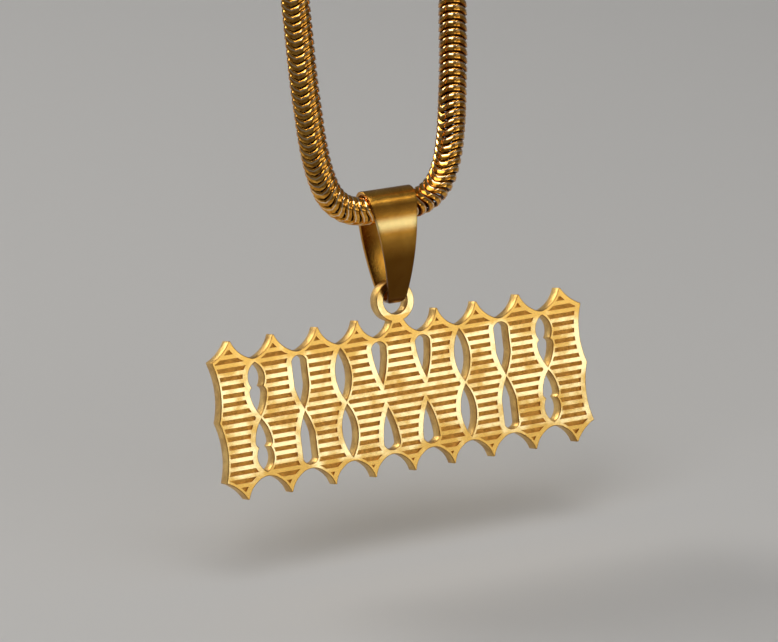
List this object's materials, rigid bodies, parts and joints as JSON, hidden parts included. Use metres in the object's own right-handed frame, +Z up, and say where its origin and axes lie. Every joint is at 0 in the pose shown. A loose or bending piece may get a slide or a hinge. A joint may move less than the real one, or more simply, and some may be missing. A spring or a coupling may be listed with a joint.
{
  "type": "nameplate necklace",
  "caption": "Pierced, etched pendant plate with pointed arches and its own ring, on a folded strap bail and a closed round snake chain.",
  "frame": {"origin": "centre of the clasp at the top of the chain loop, the point by which the necklace hangs", "axes": "+Z up, the plate's face looks towards -Y and leans back, +X along the plate to the wearer's left"},
  "size_m": [0.0454, 0.0469, 0.2785],
  "materials": {
    "chain_gold": "polished gold plating",
    "clasp_gold": "polished gold plating",
    "bail_gold": "satin gold plating",
    "plate_gold": "satin pale gold plating with a matt etched ground"
  },
  "bodies": {
    "chain_loop": {"chain": "chain_gold", "clasp": "clasp_gold"},
    "bail": {"bail": "bail_gold"},
    "nameplate": {"nameplate": "plate_gold"}
  },
  "joints": [
    {"name": "bail_swing", "type": "hinge", "parent": "chain_loop", "child": "bail", "pos_m": [0, -0.03652, -0.24732], "axis": [1, 0, 0], "range_deg": [-150, 135]},
    {"name": "plate_swing", "type": "hinge", "parent": "bail", "child": "nameplate", "pos_m": [0, -0.03805, -0.25764], "axis": [0, -0.9563, 0.2924], "range_deg": [-40, 40]}
  ]
}
